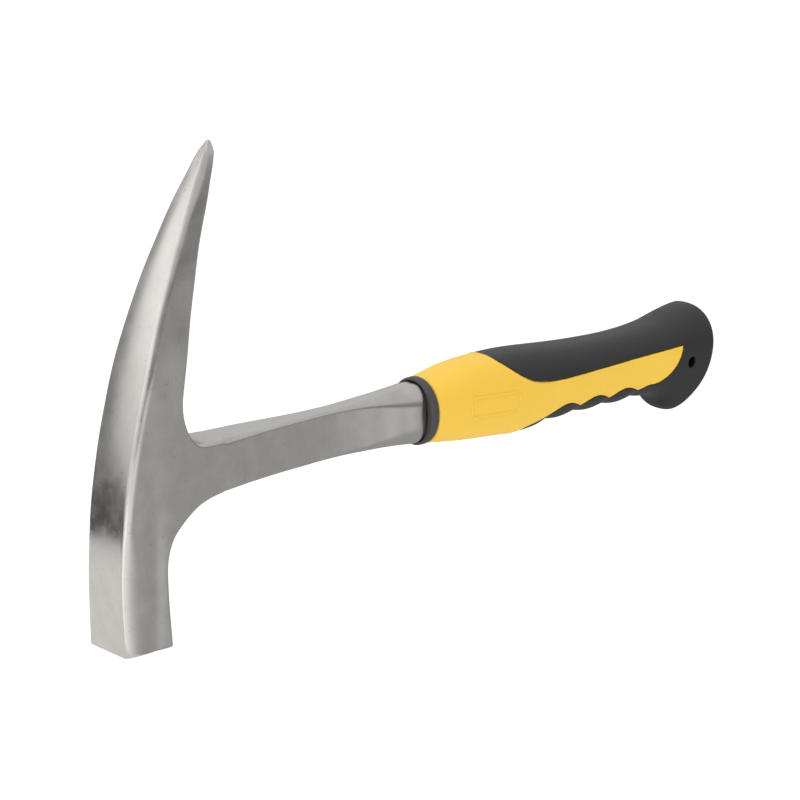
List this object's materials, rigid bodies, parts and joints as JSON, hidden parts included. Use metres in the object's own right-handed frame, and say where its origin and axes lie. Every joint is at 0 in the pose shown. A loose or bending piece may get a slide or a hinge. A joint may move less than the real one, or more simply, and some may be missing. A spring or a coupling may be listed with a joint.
{
  "type": "geologist's rock hammer",
  "caption": "One-piece forged rock pick with a square striking face, a long pointed tip and a two-colour moulded grip with a hang hole.",
  "frame": {"origin": "centre of the square striking face", "axes": "+Z from the striking face up to the pick's tip, +X from the head along the handle to the butt, Y across the head's cheeks, the plane Y = 0 being the plane of symmetry"},
  "size_m": [0.3098, 0.029, 0.18],
  "materials": {
    "forged_steel": "belt-ground satin forged steel",
    "collar_rubber": "matt moulded rubber",
    "yellow_plastic": "satin moulded polypropylene",
    "black_rubber": "matt moulded thermoplastic rubber"
  },
  "bodies": {
    "root": {"forged_steel_body": "forged_steel", "front_collar": "collar_rubber", "grip_core": "yellow_plastic", "rubber_overmould": "black_rubber"}
  },
  "joints": []
}
